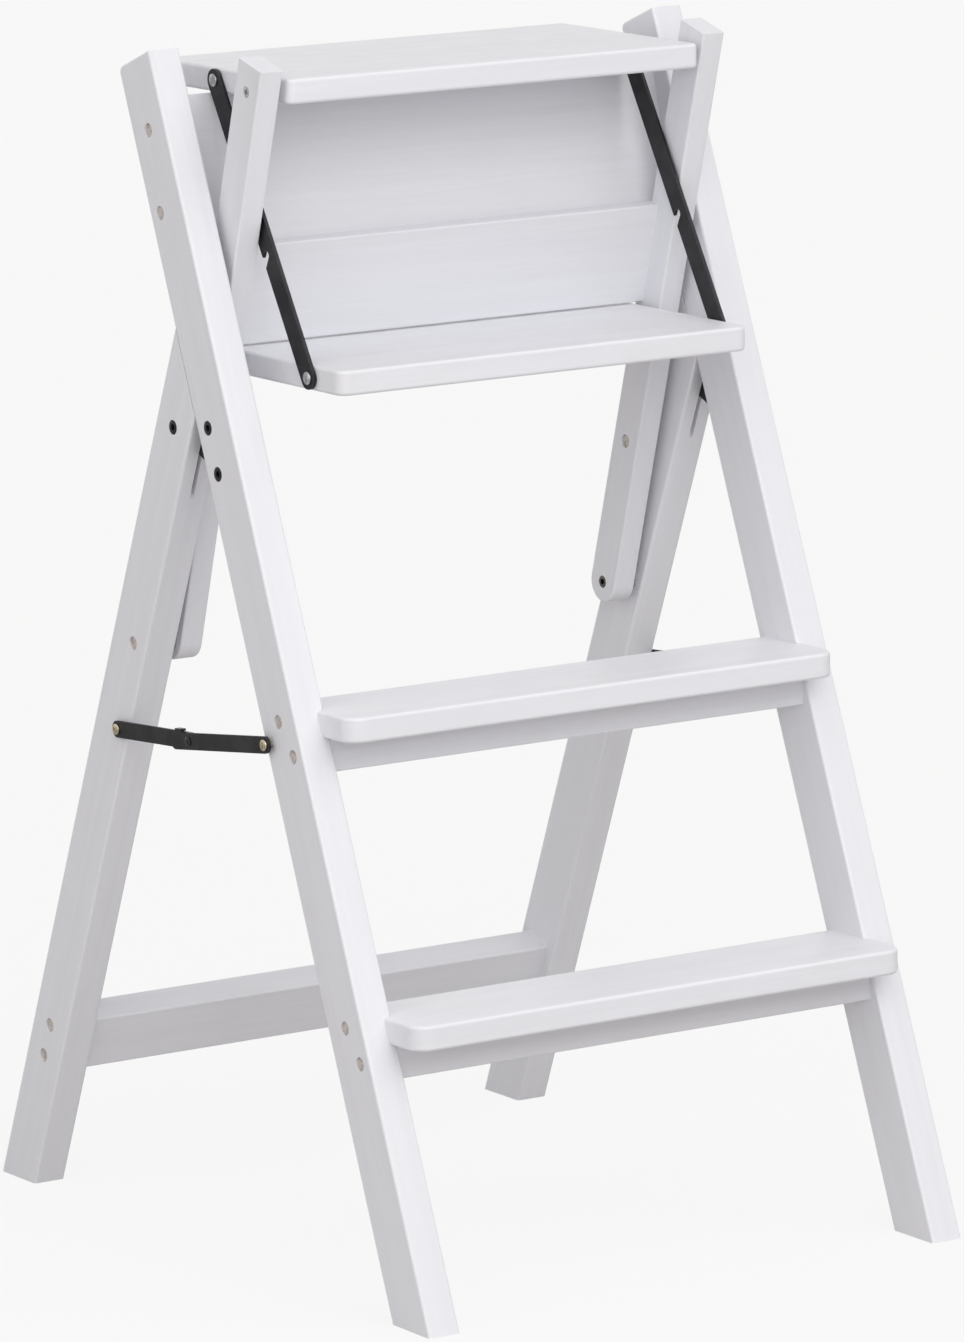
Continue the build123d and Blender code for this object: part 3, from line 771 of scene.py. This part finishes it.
@dataclass(frozen=True)
class FastenerShape:
    """A turned fastener with its outer end at Z 0 and its shank below, in millimetres."""

    head_radius: float
    head_height: float
    shank_radius: float
    length: float
    recess: Recess = Recess.NONE
    recess_across: float = 4.0
    recess_depth: float = 1.2
    crown: float = 0.0
    rim: float = 0.4
    shoulder_radius: float = 0.0
    shoulder_height: float = 0.0
    shoulder_gap: float = 0.0
    recess_over: float = 2.0
    recess_draft: float = 0.82
    cross_arm: float = 0.3
    tip_share: float = 0.8
    tip_rise: float = 0.4
    rim_turn: float = 0.3
    crown_steps: Tuple[float, ...] = (0.75, 0.5, 0.25)
    sides: int = 28

    def template(self, name: str) -> bpy.types.Object:
        """Make the fastener that the rows copy.

        Args:
            name: The template object's name.

        Returns:
            The template, at the origin and facing +Z.
        """
        profile = [(radius * MILLIMETRE, height * MILLIMETRE) for radius, height in self._profile()]
        body = as_object(name, lathe(profile, self.sides))
        outline = [(x * MILLIMETRE, y * MILLIMETRE) for x, y in self._recess_outline()]
        if outline:
            floor, top = -self.recess_depth * MILLIMETRE, self.recess_over * MILLIMETRE
            cutter = as_object(name + "_cutter", prism(outline, floor, top, self.recess_draft))
            cut = body.modifiers.new("recess", "BOOLEAN")
            cut.object = cutter
            cut.operation = "DIFFERENCE"
            cut.solver = "EXACT"
            mesh = evaluated_mesh(body, name)
            plain = body.data
            body.modifiers.clear()
            body.data = mesh
            bpy.data.meshes.remove(plain)
            discard(cutter)
        return body

    def _profile(self) -> List[Point]:
        """Give the profile from the tip of the shank up to the crown.

        Returns:
            Radius and height pairs.
        """
        under = -self.head_height
        edge = self.head_radius - self.rim
        rim_turn = self.rim * self.rim_turn
        points = [(0.0, -self.length), (self.shank_radius * self.tip_share, -self.length)]
        points += [(self.shank_radius, -self.length + self.shank_radius * self.tip_rise)]
        if self.shoulder_radius:
            top = under - self.shoulder_gap
            points += [(self.shank_radius, top - self.shoulder_height)]
            points += [(self.shoulder_radius, top - self.shoulder_height), (self.shoulder_radius, top)]
            points += [(self.shank_radius, top)]
        if self.head_radius > self.shank_radius:
            points += [(self.shank_radius, under)]
        points += [(self.head_radius, under), (self.head_radius, -self.crown - self.rim)]
        points += [(self.head_radius - rim_turn, -self.crown - rim_turn), (edge, -self.crown)]
        if self.crown:
            points += [(edge * share, -self.crown * share**2) for share in self.crown_steps]
        return [*points, (0.0, 0.0)]

    def _recess_outline(self) -> List[Point]:
        """Give the corners of the driver recess.

        Returns:
            The corners in order, or none where the head is plain.
        """
        half = self.recess_across / 2
        if self.recess is Recess.HEXAGON:
            angles = [math.pi / 3 * index for index in range(6)]
            return [(half * math.cos(a), half * math.sin(a)) for a in angles]
        if self.recess is Recess.CROSS:
            arm = half * self.cross_arm
            quarter = [(half, -arm), (half, arm), (arm, arm)]
            turns = [(1, 0, 0, 1), (0, -1, 1, 0), (-1, 0, 0, -1), (0, 1, -1, 0)]
            return [(a * x + b * y, c * x + d * y) for a, b, c, d in turns for x, y in quarter]
        return []


class FastenerRows:
    """Rows of equal fasteners, set on points by one node tree."""

    def __init__(self, finishes: Finishes) -> None:
        """Build the tree that sets a template on points."""
        self.finishes = finishes
        self.tree = self._tree()

    def _tree(self) -> bpy.types.NodeTree:
        """Build the tree: a template on every point, turned to face outwards and spun at random.

        Returns:
            The node tree.
        """
        wires, start, end = new_group(
            "fastener_row",
            "GeometryNodeTree",
            {
                "Points": Sockets.SHAPE,
                "Template": Sockets.OBJECT,
                "Finish": Sockets.MATERIAL,
                "Seed": Sockets.WHOLE,
            },
            {"Fasteners": Sockets.SHAPE},
        )
        template = wires.feed(wires.add("GeometryNodeObjectInfo"), Object=start.outputs["Template"])
        facing = wires.add("GeometryNodeInputNamedAttribute", data_type="FLOAT_VECTOR")
        facing.inputs["Name"].default_value = "facing"
        aligned = wires.add("FunctionNodeAlignRotationToVector", axis="Z")
        wires.feed(aligned, Vector=facing.outputs["Attribute"])
        spin = wires.add("FunctionNodeRandomValue", data_type="FLOAT")
        low, high, *_ = (socket for socket in spin.inputs if socket.type == "VALUE")
        wires.put(low, 0.0)
        wires.put(high, 2 * math.pi)
        wires.join(start.outputs["Seed"], spin.inputs["Seed"])
        angle = next(socket for socket in spin.outputs if socket.type == "VALUE")
        about_axis = wires.add("FunctionNodeAxisAngleToRotation")
        wires.feed(about_axis, Axis=(0.0, 0.0, 1.0), Angle=angle)
        turned = wires.add("FunctionNodeRotateRotation", rotation_space="LOCAL")
        wires.feed(turned, Rotation=aligned.outputs["Rotation"], Rotate_By=about_axis.outputs["Rotation"])
        copies = wires.add("GeometryNodeInstanceOnPoints")
        wires.feed(
            copies,
            Points=start.outputs["Points"],
            Instance=template.outputs["Geometry"],
            Rotation=turned.outputs["Rotation"],
        )
        solid = wires.feed(wires.add("GeometryNodeRealizeInstances"), Geometry=copies.outputs["Instances"])
        dressed = wires.add("GeometryNodeSetMaterial")
        wires.feed(dressed, Geometry=solid.outputs["Geometry"], Material=start.outputs["Finish"])
        wires.join(dressed.outputs["Geometry"], end.inputs["Fasteners"])
        return wires.tree

    def build(
        self, name: str, seats: Sequence[Seat], shape: FastenerShape, finish: object, seed: int
    ) -> bpy.types.Object:
        """Make one row of fasteners as a plain mesh piece.

        Args:
            name: The piece's name.
            seats: Where the fasteners go.
            shape: The fastener's shape.
            finish: The fastener's finish.
            seed: The seed of the driver recesses' turns.

        Returns:
            The finished piece, at the origin.
        """
        points = bpy.data.meshes.new(name + "_points")
        points.from_pydata([seat.place for seat in seats], [], [])
        facing = points.attributes.new("facing", "FLOAT_VECTOR", "POINT")
        for item, seat in zip(facing.data, seats):
            item.vector = (seat.facing, 0.0, 0.0)
        piece = bpy.data.objects.new(name, points)
        bpy.context.scene.collection.objects.link(piece)
        template = shape.template(name + "_template")
        row = piece.modifiers.new("row", "NODES")
        row.node_group = self.tree
        values = {"Template": template, "Finish": self.finishes.get(finish), "Seed": seed}
        for socket in self.tree.interface.items_tree:
            if socket.name in values:
                row[socket.identifier] = values[socket.name]
        mesh = evaluated_mesh(piece, name)
        piece.modifiers.clear()
        piece.data = mesh
        bpy.data.meshes.remove(points)
        discard(template)
        return piece


def soften(mesh: bpy.types.Mesh, crease: float = 35.0) -> None:
    """Shade a mesh smooth, apart from edges that turn more than a crease angle.

    Args:
        mesh: The mesh to shade.
        crease: The angle in degrees.
    """
    mesh.set_sharp_from_angle(angle=math.radians(crease))
    for polygon in mesh.polygons:
        polygon.use_smooth = True


@dataclass
class Boards:
    """The wooden pieces, which keep their solids and get their paint."""

    nodes: Dict[str, bpy.types.Object]
    finishes: Finishes
    paints: Dict[str, PaintedWood] = field(
        default_factory=lambda: {
            "front_rail_left": RAIL_PAINT,
            "front_rail_right": RAIL_PAINT,
            "rear_leg_left": LEG_PAINT,
            "rear_leg_right": LEG_PAINT,
            "arm_left": ARM_PAINT,
            "arm_right": ARM_PAINT,
            "tread_lower": TREAD_PAINT,
            "tread_upper": TREAD_PAINT,
            "platform": TREAD_PAINT,
            "upper_step": TREAD_PAINT,
            "apron_lower": PANEL_PAINT,
            "apron_upper": PANEL_PAINT,
            "upper_panel": PANEL_PAINT,
            "lower_panel": PANEL_PAINT,
            "rear_crossbar": PANEL_PAINT,
        }
    )

    def dress(self) -> None:
        """Paint every board."""
        for name, paint in self.paints.items():
            paint_node(self.nodes[name], self.finishes.get(paint))
            LOG.info("painted %s", name)


@dataclass
class FlatSteel:
    """The links, stays and hinge plates, which keep their solids and get their coat."""

    nodes: Dict[str, bpy.types.Object]
    finishes: Finishes
    coated: Tuple[str, ...] = ("link", "stay_front_bar", "stay_rear_bar", "hinge_plate")
    hidden_steel: Tuple[str, ...] = (
        "front_frame_screws",
        "crossbar_screws",
        "arm_spacers",
        "stay_rivet_tails",
    )

    def dress(self) -> None:
        """Coat the flat steel, and plate what lies inside the joints."""
        for name in (f"{stem}_{side}" for stem in self.coated for side in ("left", "right")):
            paint_node(self.nodes[name], self.finishes.get(BLACK_STEEL))
            LOG.info("coated %s", name)
        for name in self.hidden_steel:
            paint_node(self.nodes[name], self.finishes.get(ZINC))
            LOG.info("plated %s", name)


def paint_node(node: bpy.types.Object, material: bpy.types.Material) -> None:
    """Give every material slot of a node one material.

    Args:
        node: The node to dress.
        material: The finish.
    """
    if not node.material_slots:
        node.data.materials.append(material)
    for slot in node.material_slots:
        slot.material = material


@dataclass(frozen=True)
class FastenerKind:
    """One family of fasteners: the nodes it stands for, its body, shape and finish."""

    piece: str
    nodes: Tuple[str, ...]
    body: str
    slot: str
    shape: FastenerShape
    finish: object
    inward: bool = False


PLUG_SHAPE = FastenerShape(
    head_radius=5.0, head_height=5.5, shank_radius=4.8, length=6.0, crown=0.35, rim=0.5
)
SOCKET_BOLT = FastenerShape(
    head_radius=5.2,
    head_height=20.0,
    shank_radius=5.0,
    length=21.0,
    recess=Recess.HEXAGON,
    recess_across=5.8,
    recess_depth=3.0,
    rim=0.6,
)
ARM_BOLT = FastenerShape(
    head_radius=4.5,
    head_height=30.0,
    shank_radius=4.3,
    length=40.3,
    recess=Recess.HEXAGON,
    recess_across=5.0,
    recess_depth=3.0,
    rim=0.5,
)
LINK_SCREW = FastenerShape(
    head_radius=4.6,
    head_height=0.75,
    shank_radius=2.4,
    length=3.6,
    recess=Recess.CROSS,
    recess_across=4.6,
    recess_depth=0.7,
    crown=0.25,
    rim=0.25,
)
LINK_LOW_SCREW = replace(LINK_SCREW, length=3.5)
STAY_SCREW = FastenerShape(
    head_radius=4.0,
    head_height=1.6,
    shank_radius=2.5,
    length=24.0,
    recess=Recess.CROSS,
    recess_across=4.6,
    recess_depth=1.0,
    crown=0.55,
    rim=0.35,
    shoulder_radius=4.0,
    shoulder_height=0.8,
    shoulder_gap=2.6,
)
SUNK_SCREW = FastenerShape(
    head_radius=4.0,
    head_height=2.4,
    shank_radius=2.4,
    length=24.0,
    recess=Recess.CROSS,
    recess_across=4.8,
    recess_depth=1.4,
    crown=0.1,
    rim=0.3,
)
RIVET = FastenerShape(head_radius=3.5, head_height=0.9, shank_radius=2.4, length=1.6, crown=0.8, rim=0.3)

ARM_SCREW_NODES = ("lower_panel_screws", "platform_pivot_screws", "step_pivot_screws")
FASTENERS = (
    FastenerKind("front_plugs", ("front_frame_plugs",), "front_frame", "wood_plug", PLUG_SHAPE, PLUG_PAINT),
    FastenerKind("rear_plugs", ("rear_leg_plugs",), "rear_frame", "wood_plug", PLUG_SHAPE, PLUG_PAINT),
    FastenerKind("arm_hole_plugs", ("arm_plugs",), "arm_frame", "wood_plug", PLUG_SHAPE, PLUG_PAINT, True),
    FastenerKind("hinge_bolts", ("hinge_plate_bolts",), "front_frame", "black_bolt", SOCKET_BOLT, BLACK_BOLT),
    FastenerKind("hinge_pivots", ("hinge_pivot_bolts",), "rear_frame", "black_bolt", SOCKET_BOLT, BLACK_BOLT),
    FastenerKind("arm_bolts", ("arm_pivot_bolts",), "rear_frame", "steel_screw", ARM_BOLT, DARK_ZINC, True),
    FastenerKind("link_top_screws", ("link_upper_screws",), "platform", "steel_screw", LINK_SCREW, ZINC),
    FastenerKind("link_foot_screws", ("link_lower_screws",), "links", "steel_screw", LINK_LOW_SCREW, ZINC),
    FastenerKind(
        "stay_front_heads", ("stay_front_screws",), "front_frame", "brass_screw", STAY_SCREW, YELLOW_ZINC
    ),
    FastenerKind(
        "stay_rear_heads", ("stay_rear_screws",), "rear_frame", "brass_screw", STAY_SCREW, YELLOW_ZINC
    ),
    FastenerKind("stay_rivets", ("stay_rivet_heads",), "stay_front_bars", "black_steel", RIVET, BLACK_BOLT),
    FastenerKind("arm_screws", ARM_SCREW_NODES, "arm_frame", "steel_screw", SUNK_SCREW, ZINC),
)


@dataclass
class Fasteners:
    """Every screw, bolt, rivet and plug that shows."""

    nodes: Dict[str, bpy.types.Object]
    rows: FastenerRows

    def build(self) -> None:
        """Build each family and let it stand for its solids."""
        for seed, kind in enumerate(FASTENERS, start=1):
            seats = [seat for name in kind.nodes for seat in outer_seats(self.nodes[name], kind.inward)]
            piece = self.rows.build(kind.piece, seats, kind.shape, kind.finish, seed)
            soften(piece.data)
            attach(piece, kind.body)
            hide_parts(*kind.nodes)
            LOG.info("%s: %d fasteners", kind.piece, len(seats))


@dataclass(frozen=True)
class Studio:
    """Pale floor, soft light and the camera of the photograph."""

    floor_size: float = 60.0
    floor_colour: Colour = (0.60, 0.58, 0.57)
    floor_white: float = 0.87
    floor_roughness: Span = (0.8, 0.95)
    sky: float = 0.44
    sky_colour: Colour = (1.0, 0.985, 0.98)
    key: float = 0.85
    key_from: Place = (0.25, -0.55, 0.80)
    key_spread: float = 50.0
    fill: float = 0.95
    fill_from: Place = (-0.80, -0.40, 0.45)
    fill_spread: float = 80.0
    softbox: float = 9.5
    softbox_place: Place = (-0.35, -1.7, 1.35)
    softbox_aim: Place = (0.0, 0.0, 0.70)
    softbox_size: float = 1.1
    camera_place: Place = (-3.17423, -4.78967, 1.49184)
    yaw: float = 0.5851
    pitch: float = -0.1774
    roll: float = -0.0121
    focal_pixels: float = 8225.15
    frame_pixels: Tuple[int, int] = (964, 1342)
    axis_pixel: Point = (463.90, 572.66)
    sensor: float = 36.0

    def build(self) -> None:
        """Set up the view, the floor, the lamps, the world and the camera."""
        scene = bpy.context.scene
        scene.view_settings.view_transform = "Standard"
        self._floor()
        self._lamp("key_light", self.key, self.key_from, self.key_spread)
        self._lamp("fill_light", self.fill, self.fill_from, self.fill_spread)
        self._softbox()
        self._world(scene)
        self._camera(scene)

    def _floor(self) -> None:
        """Lay a plain pale floor under the feet."""
        half = self.floor_size / 2
        corners = [(-half, -half, 0.0), (half, -half, 0.0), (half, half, 0.0), (-half, half, 0.0)]
        mesh = bpy.data.meshes.new("floor")
        mesh.from_pydata(corners, [], [(0, 1, 2, 3)])
        floor = bpy.data.objects.new("floor", mesh)
        bpy.context.scene.collection.objects.link(floor)
        material, wires, shader, place = new_material("pale_floor")
        noise = wires.noise(Vector=place, Scale=3.0, Detail=3.0)
        rough = wires.span(noise, *NOISE_SPAN, *self.floor_roughness)
        wires.feed(shader, Base_Color=self.floor_colour, Roughness=rough)
        white = wires.feed(wires.add("ShaderNodeEmission"), Color=(1.0, 1.0, 1.0), Strength=1.0)
        seen = wires.add("ShaderNodeLightPath").outputs["Is Camera Ray"]
        lifted = wires.add("ShaderNodeMixShader")
        wires.join(wires.math("MULTIPLY", seen, self.floor_white), lifted.inputs[0])
        wires.join(shader.outputs["BSDF"], lifted.inputs[1])
        wires.join(white.outputs["Emission"], lifted.inputs[2])
        output = next(node for node in wires.tree.nodes if node.type == "OUTPUT_MATERIAL")
        wires.join(lifted.outputs["Shader"], output.inputs["Surface"])
        mesh.materials.append(material)

    def _lamp(self, name: str, strength: float, source: Place, spread: float) -> None:
        """Add a broad soft lamp.

        Args:
            name: The lamp's name.
            strength: Its strength.
            source: The direction that it shines from.
            spread: Its width as an angle in degrees.
        """
        lamp = bpy.data.lights.new(name, "SUN")
        lamp.energy = strength
        lamp.angle = math.radians(spread)
        item = bpy.data.objects.new(name, lamp)
        item.rotation_euler = Vector(source).to_track_quat("Z", "Y").to_euler()
        bpy.context.scene.collection.objects.link(item)

    def _softbox(self) -> None:
        """Hang a near softbox in front, which lifts the upper boards more than the feet."""
        lamp = bpy.data.lights.new("front_softbox", "AREA")
        lamp.energy = self.softbox
        lamp.size = self.softbox_size
        item = bpy.data.objects.new("front_softbox", lamp)
        item.location = self.softbox_place
        back = Vector(self.softbox_place) - Vector(self.softbox_aim)
        item.rotation_euler = back.to_track_quat("Z", "Y").to_euler()
        bpy.context.scene.collection.objects.link(item)

    def _world(self, scene: bpy.types.Scene) -> None:
        """Light the room evenly, and show it white to the camera and in reflections.

        Args:
            scene: The scene.
        """
        world = bpy.data.worlds.new("studio")
        world.use_nodes = True
        world.node_tree.nodes.clear()
        wires = Wires(world.node_tree)
        path = wires.add("ShaderNodeLightPath")
        seen = wires.math("MAXIMUM", path.outputs["Is Camera Ray"], path.outputs["Is Glossy Ray"])
        seen = wires.math("MAXIMUM", seen, path.outputs["Is Transmission Ray"])
        strength = wires.span(seen, 0.0, 1.0, self.sky, 1.0)
        light = wires.add("ShaderNodeBackground")
        wires.feed(light, Color=self.sky_colour, Strength=strength)
        wires.join(light.outputs["Background"], wires.add("ShaderNodeOutputWorld").inputs["Surface"])
        scene.world = world

    def _camera(self, scene: bpy.types.Scene) -> None:
        """Stand the camera where the photograph was taken from.

        Args:
            scene: The scene.
        """
        level = math.cos(self.pitch)
        ahead = Vector((math.sin(self.yaw) * level, math.cos(self.yaw) * level, math.sin(self.pitch)))
        right = Vector((math.cos(self.yaw), -math.sin(self.yaw), 0.0))
        up = right.cross(ahead)
        rolled_right = math.cos(self.roll) * right + math.sin(self.roll) * up
        rolled_up = math.cos(self.roll) * up - math.sin(self.roll) * right
        width, height = self.frame_pixels
        lens = bpy.data.cameras.new("photo_camera")
        lens.sensor_width = self.sensor
        lens.lens = self.focal_pixels * self.sensor / height
        lens.shift_x = (width / 2 - self.axis_pixel[0]) / height
        lens.shift_y = (self.axis_pixel[1] - height / 2) / height
        lens.clip_end = self.floor_size * 2
        camera = bpy.data.objects.new("photo_camera", lens)
        turn = Matrix((rolled_right, rolled_up, -ahead)).transposed()
        camera.matrix_world = Matrix.Translation(self.camera_place) @ turn.to_4x4()
        scene.collection.objects.link(camera)
        scene.camera = camera


def main() -> None:
    """Load the frame, dress it and set up the studio."""
    logging.basicConfig(level=logging.INFO, format="%(message)s")
    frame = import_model()
    nodes = frame["nodes"]
    finishes = Finishes(SurfaceEffects())
    Boards(nodes, finishes).dress()
    FlatSteel(nodes, finishes).dress()
    Fasteners(nodes, FastenerRows(finishes)).build()
    Studio().build()


if __name__ == "__main__":
    main()
